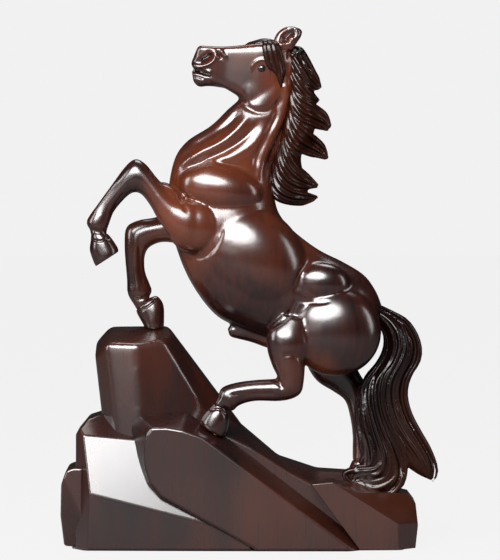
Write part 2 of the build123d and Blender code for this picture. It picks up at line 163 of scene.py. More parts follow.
LEG_STROKES = [
    ([(-9, 118.8), (10, 119.4), (30, 119.8)], 1.5, -0.8),
    ([(25, 131.5), (29, 129.6), (34, 123)], 1.4, -1.4),
    ([(-92, 285), (-99, 274), (-106, 264), (-112, 255)], 1.8, 0.7),
    ([(-86, 274), (-94, 263.5), (-98, 254)], 1.6, -0.9),
    ([(-114, 245.5), (-107, 243), (-99.5, 244.5)], 1.2, -1.2),
    ([(-80, 240), (-80.5, 215), (-79, 200), (-80, 192)], 1.8, 0.8),
    ([(-77, 236), (-76.5, 215), (-74, 201)], 1.6, -0.8),
    ([(-82, 190), (-76, 189.5), (-69, 194)], 1.3, -1.2),
    ([(-12, 116), (-7, 111), (-4, 106)], 1.3, -1.0),
    ([(-15.5, 112.5), (-12, 109), (-8, 107.5)], 1.1, -0.8),
]
HEAD_STROKES = [
    ([(-30, 373.5), (-26, 375), (-22.5, 377.5), (-22.5, 379.5)], 2.3, -4.4),
    ([(-37, 371.5), (-31, 369.6), (-25, 370.2), (-20, 373.2), (-18, 377.5), (-19.5, 381.5)], 1.5, 1.5),
    ([(-16.5, 381.5), (-15.5, 378.5), (-13, 375)], 1.2, -1.4),
    ([(-14, 382), (-12.5, 379), (-9.5, 375.5)], 1.4, 0.9),
    ([(-38, 367), (-33, 366.4), (-28, 364.6), (-23.5, 362.4), (-20.5, 361)], 1.1, -2.6),
    ([(-36, 361.5), (-31, 361), (-27, 359.5)], 1.0, -0.8),
    ([(-37, 369), (-31, 368.2), (-25, 366), (-20, 363.5)], 1.5, 0.9),
    ([(9.5, 366), (12, 371.6), (17.5, 374.2), (23.5, 371.8), (27, 366)], 1.3, 0.8),
    ([(30, 372), (32, 362), (34, 353)], 2.0, -0.8),
]
EAR_HOLLOW = [([(36, 386), (35.5, 391), (39, 395), (44.5, 395.5)], 3.4, -6.0)]

# Locks of hair, each a few guide lines of (x, z), root first.
MANE_LOCKS = [
    [
        [(40, 385), (47, 382), (52, 374.5), (57.5, 364), (63.5, 353)],
        [(38, 380), (43, 375), (48.5, 366), (54, 358), (62.5, 352)],
        [(38, 376), (41, 370), (46, 361), (52.5, 354.5), (61, 351)],
    ],
    [
        [(39, 373), (42, 365), (48, 356), (54, 349), (62.3, 343)],
        [(39, 368), (41, 359), (46, 350.5), (53, 344.5), (61, 341.5)],
    ],
    [
        [(39, 366), (40.5, 356), (44, 348), (51, 342), (60, 337), (67, 331), (71, 323.5)],
        [(39.5, 360), (40.5, 350), (43.5, 341), (49, 335), (57, 331), (65, 327), (70.5, 322)],
        [(39.5, 354), (40, 344), (42.5, 335), (48, 328.5), (57, 324.5), (69, 319.5)],
    ],
    [
        [(39, 350), (39.5, 338), (43, 328), (50, 320), (58, 314), (65, 307), (68.8, 298.5)],
        [(38.5, 344), (38.5, 331), (41, 321), (47, 313), (55, 308), (63, 303), (68, 298)],
        [(37.5, 337), (37, 324), (39, 313), (44, 306.5), (52, 303), (60, 300.5), (66.5, 297.6)],
    ],
    [
        [(35.5, 329), (35, 316), (37, 305), (42, 295), (50, 287), (61.5, 278)],
        [(33, 321), (32.5, 308), (35, 297), (41, 288), (50, 281.5), (61.3, 277.3)],
        [(30, 312), (30, 300), (33, 289), (39, 281.5), (49, 277), (60.6, 276.2)],
    ],
    [
        [(27.5, 304), (28, 292), (31, 282), (38, 275), (48, 271.5), (61, 269.5)],
        [(25.5, 296), (26, 285), (29.5, 276), (37, 270.5), (48, 268), (61, 268.3)],
        [(24, 288), (24.5, 277), (28, 269.5), (35, 265.8), (46, 264.3), (58.5, 266)],
    ],
]
MANE_CORE = [
    (48, 381, 37, 380, 7), (53, 368, 36, 362, 11), (57, 353, 36, 345, 13), (60, 335, 34, 330, 14),
    (57, 317, 31, 314, 15), (48, 301, 26, 297, 15), (50, 285, 23.5, 283, 15), (53, 272, 24, 271, 12),
    (49, 267, 28, 266.5, 8),
]
TAIL_LOCKS = [
    [
        [
            (106, 187), (118, 180), (128, 173.5), (135, 164), (138.5, 153), (137.5, 143), (131.5, 133),
            (128, 122), (128.5, 111), (132.5, 99), (139.5, 86), (146.5, 74), (151.5, 63), (152.5, 55),
            (149, 49),
        ],
        [
            (108, 185), (120, 177.5), (128, 168), (132.5, 156), (131.5, 145), (125.5, 134), (122, 122),
            (123, 110), (127.5, 97), (134.5, 85), (142, 73), (148, 60), (147.5, 51),
        ],
        [
            (107, 183), (118, 175.5), (125, 166), (127.5, 155), (125, 144), (118.5, 133), (115, 122),
            (116, 109), (120.5, 96), (128, 83), (136.5, 72), (143, 62), (145.5, 53),
        ],
        [
            (106, 182), (116.5, 174.3), (123.5, 165), (125, 155), (122, 144), (115.5, 133), (112, 121.5),
            (113, 108.5), (117.5, 95.5), (124, 83), (129.5, 72), (133, 64), (135.5, 58),
        ],
    ],
    [
        [
            (107, 181), (116, 173), (122, 164), (123, 154), (119.5, 143), (112.5, 133), (109.5, 121),
            (110.5, 108), (115, 95), (121.5, 82), (127, 70), (128.5, 58), (126.5, 47), (121, 40),
        ],
        [
            (106, 179), (114, 170.5), (118, 161), (118, 151), (113.5, 141), (107, 131), (104.5, 119),
            (106, 105), (110.5, 91), (116, 78), (120, 66), (121.5, 54), (116.5, 46), (108, 43), (100, 46),
        ],
        [
            (106, 176), (112, 168.5), (115.3, 160), (114.5, 150), (109.5, 140), (102.5, 130.5),
            (99.8, 119), (100.8, 105), (104.5, 91), (109, 78), (111.5, 66), (108.5, 57), (101.5, 55.5),
            (94, 59), (86, 59.5), (81, 54.5),
        ],
        [
            (105, 172), (110.5, 166), (113, 158), (112, 149), (106.5, 139), (99, 130), (95.3, 119),
            (95.3, 106), (97.5, 93), (101, 81), (103, 70), (100, 62), (92, 61.5), (84.5, 57),
        ],
    ],
    [[(102, 133), (96.5, 126), (92.5, 116), (91, 104), (92, 92), (94, 80), (95, 69), (92, 63)]],
]
TAIL_CURLS = [
    [
        (113.4, 75), (111, 66), (104, 60), (93, 58), (84.5, 57.5), (81, 54), (86, 48.6), (92.7, 45.6),
        (98, 47),
    ],
    [(103, 56), (96, 55), (89.5, 53), (90.5, 49.5), (97, 45.5), (106, 41.5), (115, 40.5)],
    [(125, 60), (124.5, 49), (118, 41), (107, 39.8), (98, 42)],
    [(122, 66), (120, 53.5), (111, 46.5), (102, 45), (94, 50)],
]
TAIL_CORE = [
    (109, 183, 106, 171, 5), (118, 178, 111, 168, 7), (127, 170, 115, 160, 8.5),
    (133, 160, 116.5, 151, 9.5), (134, 147, 112.5, 141, 10), (129, 135, 104, 132, 10),
    (124.5, 122, 97, 121, 10), (125, 108, 92.5, 106, 10), (128, 97, 92, 92, 10), (127, 84, 93, 79, 10),
    (125, 71, 93.5, 67, 10), (124, 57, 92, 55, 9.5), (120, 43, 92, 44, 8),
]
TAIL_FLARE = [
    (130, 103, 120, 95, 6), (138, 86, 124, 76, 7), (146, 71, 128, 63, 6.5), (150.5, 59, 138, 55, 4),
    (150, 52, 147.5, 50.5, 1.4),
]
FORELOCK_GUIDES = [
    [(19.5, 387.5), (20.5, 380), (22.5, 372), (27, 365)],
    [(22, 389), (24, 381), (26.5, 371), (30, 361)],
    [(25, 389.5), (28, 379), (30.8, 366), (32.3, 352.5)],
    [(28, 388), (31, 378), (33, 368), (34, 359)],
]
BROW_GUIDES = [
    [(4, 386.2), (11, 388), (19, 390), (27, 389)],
    [(8, 386), (15, 388.3), (23, 389.3), (30, 388)],
]
POLL_GUIDES = [
    [(28, 383), (34, 382), (41, 381.5), (46, 381)],
    [(29, 379), (36, 378), (43, 378.5), (49, 381)],
]

HOOVES = {
    "left_fore_hoof": (LEFT_FORE_Y, [
        (-113, 241.5, -100.5, 241.5, 6.2), (-113.2, 236.5, -98, 239, 7.6), (-114, 229, -93.5, 232.5, 8.8),
        (-111.5, 221, -92, 229, 9.4), (-109.4, 216.6, -92.2, 227.6, 9.0), (-107.5, 218, -94, 226.5, 7.4),
    ]),
    "right_fore_hoof": (RIGHT_FORE_Y, [
        (-80, 180.5, -69, 190.5, 6.2), (-79, 177.5, -63.5, 191.5, 7.6), (-76.5, 173, -58.8, 185, 8.8),
        (-74.5, 169.5, -58.2, 174, 9.4), (-73.5, 167.4, -58.6, 166.8, 9.0), (-72, 166, -60, 166, 8),
    ]),
    "left_hind_hoof": (LEFT_HIND_Y, [
        (-19.5, 112, -9, 107.5, 6.2), (-21.5, 109, -8, 103, 7.6), (-25.5, 104.5, -7.6, 97, 8.8),
        (-29.5, 98, -9.5, 88.5, 9.4), (-28, 94, -11, 86, 8.8), (-25, 91.5, -13, 86, 7),
    ]),
    "right_hind_hoof": (RIGHT_HIND_Y, [
        (88, 64, 101, 63, 6.2), (86.5, 61, 102.5, 60, 7.6), (84.5, 56, 103.5, 55, 8.8),
        (82.5, 51, 104, 50.5, 9.2), (84, 49, 102, 49, 8),
    ]),
}
HOOF_BANDS = {
    "left_fore_hoof": [(-114, 237.5), (-106, 236), (-97, 238.5)],
    "right_fore_hoof": [(-80, 178), (-72, 183), (-63, 190)],
    "left_hind_hoof": [(-23, 107), (-15, 107.5), (-9, 103)],
    "right_hind_hoof": [(86, 60), (94, 59), (103, 59)],
}
BAND_WIDTH = 0.9
BAND_DEPTH = 0.8

# Glue lines as (node that starts there, ring of the cut, y of the cut, reach of the saw around it).
PARTINGS = [
    ("neck", (26, 292, -48, 301), 0, 60),
    ("head", (42, 337, -13, 333), 0, 45),
    ("left_foreleg", (-48, 269.5, -58, 246.5), LEFT_FORE_Y, 20),
    ("right_foreleg", (-54, 257.5, -52, 233.5), RIGHT_FORE_Y, 20),
    ("left_hind_leg", (22, 150, 50.5, 140), LEFT_HIND_Y, 24),
    ("right_hind_leg", (53, 139, 89, 141), RIGHT_HIND_Y, 26),
]


# ---- the rock: outlines of (x, z) and facets cut off as (three points, way out) --------------------
SLAB_FRONT = [
    (-65.8, 94.6), (-55, 94.8), (-43, 92.8), (-28, 87.5), (88, 1), (15, 1), (-58.8, 42), (-67.5, 52.4),
    (-71, 64.6), (-71.8, 78.5), (-69.8, 89.5),
]
SLAB_BACK = [
    (-82, 104.8), (-62, 105), (-40, 105), (-10, 86), (100, 1), (0, 1), (-66, 36), (-76, 48), (-80, 62),
    (-84, 80), (-87, 97),
]
SHOULDER = [(-125, 1), (-125, 88), (-116, 99), (-102, 103.5), (-70, 103.5), (-20, 80), (10, 1)]
CORNER = [(-119, 1), (-134.5, 1), (-137, 25), (-136, 50), (-132, 61), (-127, 63), (-119, 63)]
END = [(55, 51), (72, 52.5), (92, 44), (124, 41), (131, 39.5), (136, 33), (137, 18), (135, 1), (92, 1)]
RIDGE_FRONT = [(10, 1), (-20, 80), (-12, 88), (10, 77), (40, 58), (57, 49), (84, 44), (108, 38), (112, 1)]
RIDGE_BACK = [
    (10, 1), (-20, 80), (-14, 104), (0, 92.5), (30, 67), (60, 57), (84, 55.5), (110, 52), (112, 1),
]
# The pillar's outlines are (x, y) at these heights.
PILLAR_FOOT_Z = 70
PILLAR_HEAD_Z = 175
PILLAR_FOOT = [(-102, 34), (-102, -12), (-92, -26), (-74, -30), (-4, -8), (18, 14), (18, 34)]
PILLAR_HEAD = [(-114, 30), (-114, -8), (-104, -20), (-80, -25), (-67, -19), (-60, 0), (-60, 30)]
PILLAR_FACETS = [
    ([(-85, -26, 157), (-60, -26, 157.5), (-70, 26, 168)], (0, 0, 1)),
    ([(-112.5, 0, 149), (-101, 0, 162), (-110, -26, 147)], (-1, 0, 1)),
]
SHOULDER_FACETS = [
    ([(-117, -44, 45), (-70, -44, 33), (-110, -34, 78)], (0, -1, 1)),
    ([(-119, -31.6, 88), (-83, -30.7, 84), (-100, -8, 104)], (0, -1, 1)),
    ([(-119, -31.6, 88), (-113.5, -43.8, 43), (-121.5, -31, 43)], (-1, -1, 0)),
]
CORNER_FACETS = [
    ([(-132, -34, 50), (-120, -34, 24), (-136.5, -24, 30)], (-1, -1, 0)),
]
END_FACETS = [
    ([(72, -41, 52), (121, -41, 21), (110, -20, 41)], (0, -1, 1)),
    ([(121, -41, 21), (122, -41, 1), (137, -26, 18)], (1, -1, 0)),
]

# Blocks as (node, outlines with their y from front to back, facets, width of the polished edge).
ROCK_BLOCKS = (
    ("rock_slab", ((SLAB_FRONT, -48), (SLAB_BACK, -19)), (), 2.0),
    ("rock_shoulder", ((SHOULDER, -44), (SHOULDER, 34)), SHOULDER_FACETS, 2.4),
    ("rock_corner", ((CORNER, -34), (CORNER, 24)), CORNER_FACETS, 2.2),
    ("rock_ridge", ((RIDGE_FRONT, -19), (RIDGE_BACK, 10), (RIDGE_BACK, 40)), (), 2.6),
    ("rock_end", ((END, -41), (END, 38)), END_FACETS, 2.0),
)
PILLAR_SANDING = 40  # rounds


# ---- settings -------------------------------------------------------------------------------------
class CarvingSettings(bpy.types.PropertyGroup):
    figure_grain: bpy.props.FloatProperty(
        name="Figure Detail", description="Size of the smallest facet on the horse's body",
        default=0.0011, unit="LENGTH")
    hair_grain: bpy.props.FloatProperty(
        name="Hair Detail", description="Size of the smallest facet on the mane and tail",
        default=0.0007, unit="LENGTH")
    rock_grain: bpy.props.FloatProperty(
        name="Rock Detail", description="Size of the smallest facet on the rounded pillar",
        default=0.0014, unit="LENGTH")
    strand: bpy.props.FloatProperty(
        name="Strand Thickness", description="Radius of one carved strand of hair",
        default=0.0024, unit="LENGTH")
    softness: bpy.props.IntProperty(
        name="Softness", description="Rounds of sanding over the muscles", default=9, min=0)


class FinishSettings(bpy.types.PropertyGroup):
    heartwood: bpy.props.FloatVectorProperty(
        name="Heartwood", description="Darkest colour of the wood", subtype="COLOR",
        default=(0.0025, 0.0010, 0.0010))
    figure_wood: bpy.props.FloatVectorProperty(
        name="Figure", description="Middle colour of the wood", subtype="COLOR",
        default=(0.0175, 0.0038, 0.0026))
    sapwood: bpy.props.FloatVectorProperty(
        name="Sapwood", description="Lightest streaks of the wood", subtype="COLOR",
        default=(0.074, 0.0165, 0.0056))
    lacquer_roughness: bpy.props.FloatProperty(
        name="Lacquer Roughness", description="Roughness of the clear coat", default=0.22, min=0, max=1)


class StageSettings(bpy.types.PropertyGroup):
    paper: bpy.props.FloatVectorProperty(
        name="Paper", description="Colour of the floor and of the backdrop", subtype="COLOR",
        default=(0.88, 0.88, 0.88))
    camera_distance: bpy.props.FloatProperty(
        name="Camera Distance", description="From the lens to the middle of the statue",
        default=3.0, unit="LENGTH")
    camera_rise: bpy.props.FloatProperty(
        name="Camera Rise", description="Angle of the camera above level",
        default=math.radians(2.5), subtype="ANGLE")


# ---- mesh helpers ---------------------------------------------------------------------------------
def curve_through(points, step):
    """Points of a smooth curve through the given ones, about step apart; extra columns go along."""
    points = np.array(points, float)
    padded = np.vstack([2 * points[0] - points[1], points, 2 * points[-1] - points[-2]])
    out = []
    for i in range(1, len(padded) - 2):
        before, start, end, after = padded[i - 1:i + 3]
        count = max(1, int(math.ceil(np.linalg.norm(end - start) / step)))
        bend = 2 * before - 5 * start + 4 * end - after
        twist = 3 * start - before - 3 * end + after
        for t in np.arange(count) / count:
            out.append(0.5 * (2 * start + (end - before) * t + bend * t ** 2 + twist * t ** 3))
    out.append(points[-1])
    return np.array(out)


def limb(target, rings, y=0.0, segments=32, step=5.0, fullness=1.0, lean=0.0):
    """Adds to the bmesh target a closed limb through rings at y. Below 1, fullness squares the ellipses;
    lean widens them towards their upper end."""
    part = bmesh.new()
    loops = []
    for upper_x, upper_z, lower_x, lower_z, half_width in curve_through(rings, step):
        across = Vector((upper_x - lower_x, 0, upper_z - lower_z)) / 2
        along = across.cross(Vector((0, 1, 0))).normalized()
        middle = Vector(((upper_x + lower_x) / 2, y, (upper_z + lower_z) / 2))
        turn = Matrix((across, (0, half_width, 0), along)).transposed()
        made = bmesh.ops.create_circle(part, segments=segments, radius=1)
        for vert in made["verts"]:
            squared = Vector([math.copysign(abs(c) ** fullness, c) for c in vert.co])
            squared.y *= 1 + lean * squared.x
            vert.co = middle + turn @ squared
        loops.append(list({edge for vert in made["verts"] for edge in vert.link_edges}))
    for first, second in zip(loops, loops[1:]):
        bmesh.ops.bridge_loops(part, edges=first + second)
    bmesh.ops.contextual_create(part, geom=loops[0])
    bmesh.ops.contextual_create(part, geom=loops[-1])
    bmesh.ops.recalc_face_normals(part, faces=part.faces)
    pour(part, target)


def pour(part, target):
    """Moves one bmesh's geometry into another."""
    carrier = mesh_of("carrier", part)
    target.from_mesh(carrier)
    bpy.data.meshes.remove(carrier)


def muscle(target, x, z, half_long, half_deep, half_wide, slope, y):
    """Adds an ellipsoidal muscle to the bmesh target."""
    place = Matrix.Translation((x, y, z)) @ Matrix.Rotation(math.radians(-slope), 4, "Y")
    size = Matrix.Diagonal((half_long, half_wide, half_deep, 1))
    bmesh.ops.create_icosphere(target, subdivisions=4, radius=1, matrix=place @ size)


def new_piece(name, mesh):
    """A new object in the scene that shows mesh."""
    piece = bpy.data.objects.new(name, mesh)
    bpy.context.scene.collection.objects.link(piece)
    return piece


def mesh_of(name, part):
    """A mesh from a bmesh, which is freed."""
    mesh = bpy.data.meshes.new(name)
    part.to_mesh(mesh)
    part.free()
    return mesh


def as_mesh(name, part):
    """A mesh in metres from a bmesh in millimetres, which is freed."""
    bmesh.ops.scale(part, vec=(MM, MM, MM), verts=part.verts)
    return mesh_of(name, part)


def evaluated_mesh(piece):
    """A new mesh of piece with its modifiers, or a curve's thickness, applied."""
    bpy.context.view_layer.update()
    depsgraph = bpy.context.evaluated_depsgraph_get()
    return bpy.data.meshes.new_from_object(piece.evaluated_get(depsgraph))


def melt(name, mesh, grain, rounds):
    """One skin over everything in mesh: voxel remeshed at grain, then sanded for so many rounds."""
    piece = new_piece(name, mesh)
    fuse = piece.modifiers.new("Fuse", "REMESH")
    fuse.mode = "VOXEL"
    fuse.voxel_size = grain
    sand = piece.modifiers.new("Sand", "SMOOTH")
    sand.factor = 0.5
    sand.iterations = rounds
    made = evaluated_mesh(piece)
    piece.modifiers.clear()
    piece.data = made
    made.name = name
    made.shade_smooth()
    return piece


def points_of(mesh):
    """The mesh's points in mm and its point normals."""
    places = np.empty(len(mesh.vertices) * 3, np.float32)
    mesh.vertices.foreach_get("co", places)
    normals = np.empty(len(mesh.vertices) * 3, np.float32)
    mesh.vertex_normals.foreach_get("vector", normals)
    return places.reshape(-1, 3).astype(float) / MM, normals.reshape(-1, 3).astype(float)


def place_points(mesh, places):
    """Moves the mesh's points to places in mm."""
    mesh.vertices.foreach_set("co", (places * MM).astype(np.float32).ravel())
    mesh.update()


STROKE_RUN_IN = 0.16  # share of a stroke over which it deepens from its end
STROKE_END = 0.12  # share of its depth that it starts with
STROKE_EASE = 0.3  # how gently it dies out where the surface turns away


def carve(piece, strokes, band=None, steep=0.12):
    """Cuts grooves and raises ridges along strokes on both sides, where the surface faces the side more
    than steep. A stroke fades out at its ends. band limits how far from the mid-plane it works, in mm."""
    places, normals = points_of(piece.data)
    shift = np.zeros(len(places))
    for side in BOTH:
        facing = normals[:, 1] * side
        front = facing > steep
        if band:
            front &= (places[:, 1] * side > band[0]) & (places[:, 1] * side < band[1])
        for line, width, height in strokes:
            path = curve_through(line, 0.5)
            reach = 3 * width
            near = front.copy()
            for axis, column in ((0, 0), (2, 1)):
                near &= places[:, axis] > path[:, column].min() - reach
                near &= places[:, axis] < path[:, column].max() + reach
            chosen = np.nonzero(near)[0]
            if not len(chosen):
                continue
            gaps = np.linalg.norm(places[chosen][:, None, ::2] - path[None], axis=2)
            nearest = gaps.argmin(axis=1)
            along = nearest / (len(path) - 1)
            fade = np.clip(np.minimum(along, 1 - along) / STROKE_RUN_IN, STROKE_END, 1)
            lean = np.clip((facing[chosen] - steep) / STROKE_EASE, 0, 1)
            shift[chosen] += height * fade * lean * np.exp(-(gaps.min(axis=1) / width) ** 2)
    place_points(piece.data, places + normals * shift[:, None])


def relax(piece, rounds, share=0.5):
    """Sands the piece: each round moves each point by share of the way to its neighbours' middle."""
    mesh = piece.data
    edges = np.empty(len(mesh.edges) * 2, np.int64)
    mesh.edges.foreach_get("vertices", edges)
    first, second = edges.reshape(-1, 2).T
    places, _ = points_of(mesh)
    count = np.bincount(edges, minlength=len(places))[:, None]
    for _ in range(rounds):
        total = np.zeros_like(places)
        for axis in range(3):
            total[:, axis] = (np.bincount(first, places[second, axis], len(places))
                              + np.bincount(second, places[first, axis], len(places)))
        places += share * (total / np.maximum(count, 1) - places)
    place_points(mesh, places)


def install(piece, slot, material, *nodes):
    """Puts a finished piece into the statue in place of its CAD nodes."""
    piece.data.materials.clear()
    piece.data.materials.append(material)
    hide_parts(*nodes)
    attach(piece, "root")


# ---- materials ------------------------------------------------------------------------------------
WOODS = {  # share of lighter patches, brightness, weight of the lacquer, haze under the lacquer
    "Horse Rosewood": (1.0, 1.0, 1.0, 0.02),
    # The hair's low brightness is partly painted shade: on top of the dark wood, its colour is darkened to
    # stand in for the shade that falls in the deep channels between the locks.
    "Hair Rosewood With Painted Shade": (0.6, 0.28, 0.38, 0.02),
    "Hoof Rosewood": (0.3, 0.8, 1.0, 0.02),
    "Rock Rosewood": (0.35, 0.75, 1.0, 0.13),
}


def new_material(name):
    """A new material, its nodes, its links and its shader."""
    material = bpy.data.materials.new(name)
    material.use_nodes = True
    tree = material.node_tree
    return material, tree.nodes, tree.links, tree.nodes["Principled BSDF"]


def wire(links, node, inputs):
    """Feeds the node's inputs, by name or number, each from a socket or with a constant."""
    for key, value in inputs.items():
        if isinstance(value, bpy.types.NodeSocket):
            links.new(value, node.inputs[key])
        else:
            node.inputs[key].default_value = value


def socket(tree, name, direction, kind, default=None):
    """Adds a socket to a node group's outside."""
    made = tree.interface.new_socket(name=name, in_out=direction, socket_type=kind)
    if default is not None:
        made.default_value = default


def wood_grain_group():
    """Streaks that run up the blank, with pores and slow patches of lighter wood."""
    tree = bpy.data.node_groups.get("Rosewood Grain")
    if tree:
        return tree
    finish = bpy.context.scene.finish
    tree = bpy.data.node_groups.new("Rosewood Grain", "ShaderNodeTree")
    socket(tree, "Dark", "INPUT", "NodeSocketColor", (*finish.heartwood, 1))
    socket(tree, "Middle", "INPUT", "NodeSocketColor", (*finish.figure_wood, 1))
    socket(tree, "Light", "INPUT", "NodeSocketColor", (*finish.sapwood, 1))
    socket(tree, "Patches", "INPUT", "NodeSocketFloat", 0.5)
    socket(tree, "Color", "OUTPUT", "NodeSocketColor")
    socket(tree, "Roughness", "OUTPUT", "NodeSocketFloat")
    socket(tree, "Height", "OUTPUT", "NodeSocketFloat")
    nodes, links = tree.nodes, tree.links
    source = nodes.new("NodeGroupInput")
    result = nodes.new("NodeGroupOutput")
    place = nodes.new("ShaderNodeTexCoord")

    def limits(value, low=0.0, high=1.0, to_low=0.0, to_high=1.0):
        ramp = nodes.new("ShaderNodeMapRange")
        wire(links, ramp, {"Value": value, "From Min": low, "From Max": high})
        wire(links, ramp, {"To Min": to_low, "To Max": to_high})
        return ramp.outputs["Result"]

    def streaks(upright, scale, detail, rough, low, high):
        mapping = nodes.new("ShaderNodeMapping")
        wire(links, mapping, {"Vector": place.outputs["Object"], "Scale": (1, 1, upright)})
        noise = nodes.new("ShaderNodeTexNoise")
        wire(links, noise, {"Vector": mapping.outputs["Vector"], "Scale": scale})
        wire(links, noise, {"Detail": detail, "Roughness": rough})
        return limits(noise.outputs["Fac"], low, high)

    def blend(kind, share, first, second):
        mix = nodes.new("ShaderNodeMix")
        mix.data_type = "RGBA"
        mix.blend_type = kind
        wire(links, mix, {0: share, 6: first, 7: second})
        return mix.outputs[2]

    def combine(operation, *values):
        node = nodes.new("ShaderNodeMath")
        node.operation = operation
        wire(links, node, dict(enumerate(values)))
        return node.outputs[0]

    broad = streaks(upright=0.25, scale=34, detail=4, rough=0.55, low=0.38, high=0.66)
    fine = streaks(upright=0.045, scale=260, detail=6, rough=0.65, low=0.34, high=0.66)
    patches = streaks(upright=0.6, scale=13, detail=2, rough=0.5, low=0.45, high=0.72)
    pores = streaks(upright=0.03, scale=900, detail=2, rough=0.5, low=0.62, high=0.72)
    warm = combine("MULTIPLY", patches, source.outputs["Patches"])
    fine_share = 0.7
    streaked = combine("MULTIPLY_ADD", fine, fine_share, limits(broad, to_high=0.55))
    body = blend("MIX", streaked, source.outputs["Dark"], source.outputs["Middle"])
    lit = blend("MIX", warm, body, source.outputs["Light"])
    pore_tint = (0.25, 0.2, 0.2, 1)
    wire(links, result, {
        "Color": blend("MULTIPLY", limits(pores, to_high=0.55), lit, pore_tint),
        "Roughness": limits(fine, to_low=0.46, to_high=0.34),
        "Height": limits(pores, to_low=1.0, to_high=0.0),
    })
    return tree


def lacquered_wood(name):
    """One of the woods of the table: streaked wood whose pores show faintly through a clear lacquer."""
    material = bpy.data.materials.get(name)
    if material:
        return material
    patches, brightness, lacquer, haze = WOODS[name]
    material, nodes, links, shader = new_material(name)
    grain = nodes.new("ShaderNodeGroup")
    grain.node_tree = wood_grain_group()
    for socket_name in ("Dark", "Middle", "Light"):
        shade = grain.inputs[socket_name].default_value
        grain.inputs[socket_name].default_value = (*(c * brightness for c in shade[:3]), 1)
    grain.inputs["Patches"].default_value = patches
    bump = nodes.new("ShaderNodeBump")
    wire(links, bump, {"Strength": 0.015, "Distance": 0.0003, "Height": grain.outputs["Height"]})
    wire(links, shader, {
        "Base Color": grain.outputs["Color"],
        "Roughness": grain.outputs["Roughness"],
        "Normal": bump.outputs["Normal"],
        "Specular IOR Level": haze,
        "Coat Weight": lacquer,
        "Coat Roughness": bpy.context.scene.finish.lacquer_roughness,
        "Coat IOR": 1.55,
    })
    return material


def plain_finish(name, color, roughness, metallic=0.0, speckle=0.0):
    """A turned, drawn or pressed finish with a fine speckle in its colour."""
    material = bpy.data.materials.get(name)
    if material:
        return material
    material, nodes, links, shader = new_material(name)
    place = nodes.new("ShaderNodeTexCoord")
    noise = nodes.new("ShaderNodeTexNoise")
    wire(links, noise, {"Vector": place.outputs["Object"], "Scale": 900, "Detail": 3})
    ramp = nodes.new("ShaderNodeValToRGB")
    ramp.color_ramp.elements[0].color = (*(c * (1 - speckle) for c in color), 1)
    ramp.color_ramp.elements[1].color = (*(min(1, c * (1 + speckle)) for c in color), 1)
    wire(links, ramp, {"Fac": noise.outputs["Fac"]})
    wire(links, shader, {"Base Color": ramp.outputs["Color"], "Roughness": roughness, "Metallic": metallic})
    return material


def show_to_camera(nodes, links, real, shown, share, output):
    """Sends that share of shown to the camera's own rays, and real to all other rays."""
    seen = nodes.new("ShaderNodeLightPath")
    part = nodes.new("ShaderNodeMath")
    part.operation = "MULTIPLY"
    wire(links, part, {0: seen.outputs["Is Camera Ray"], 1: share})
    mix = nodes.new("ShaderNodeMixShader")
    wire(links, mix, {0: part.outputs[0], 1: real.outputs[0], 2: shown.outputs[0]})
    wire(links, nodes[output], {"Surface": mix.outputs[0]})


# ---- operators ------------------------------------------------------------------------------------
def add_skull(target):
    limb(target, SKULL, segments=36, step=3, fullness=SKULL_FULLNESS, lean=SKULL_LEAN)


def saw_through(body, ring, y, reach):
    """Parts the body's faces within reach of the ring's middle, along the ring's plane."""
    upper_x, upper_z, lower_x, lower_z = ring
    middle = Vector(((upper_x + lower_x) / 2, y, (upper_z + lower_z) / 2)) * MM
    across = Vector((upper_x - lower_x, 0, upper_z - lower_z))
    normal = across.cross(Vector((0, 1, 0))).normalized()
    faces = [face for face in body.faces if (face.calc_center_median() - middle).length < reach * MM]
    edges = {edge for face in faces for edge in face.edges}
    verts = {vert for face in faces for vert in face.verts}
    near = [*edges, *verts, *faces]
    cut = bmesh.ops.bisect_plane(body, geom=near, plane_co=middle, plane_no=normal, dist=1e-7)
    seam = [part for part in cut["geom_cut"] if isinstance(part, bmesh.types.BMEdge)]
    bmesh.ops.split_edges(body, edges=seam)


def islands_of(body):
    """The body's faces in their connected groups."""
    found = set()
    islands = []
    for start in body.faces:
        if start in found:
            continue
        found.add(start)
        island = [start]
        for face in island:  # the list grows while it is walked
            for edge in face.edges:
                for other in edge.link_faces:
                    if other not in found:
                        found.add(other)
                        island.append(other)
        islands.append(island)
    return islands


def middle_of(faces):
    """The middle of the box around some faces."""
    corners = [face.verts[0].co for face in faces]
    low = Vector((min(corner[axis] for corner in corners) for axis in range(3)))
    high = Vector((max(corner[axis] for corner in corners) for axis in range(3)))
    return (low + high) / 2


def section_mesh(body, name, index, finer):
    """The body's faces that index owns, closed at the cuts with a sharp rim."""
    section = body.copy()
    owner = section.faces.layers.int["owner"]
    spare = [face for face in section.faces if face[owner] != index]
    bmesh.ops.delete(section, geom=spare, context="FACES")
    if finer:
        bmesh.ops.subdivide_edges(section, edges=section.edges, cuts=1, use_grid_fill=True)
    rim = [edge for edge in section.edges if edge.is_boundary]
    bmesh.ops.holes_fill(section, edges=rim)
    for edge in rim:
        edge.smooth = False
    for face in section.faces:
        face.smooth = True
    return mesh_of(name, section)


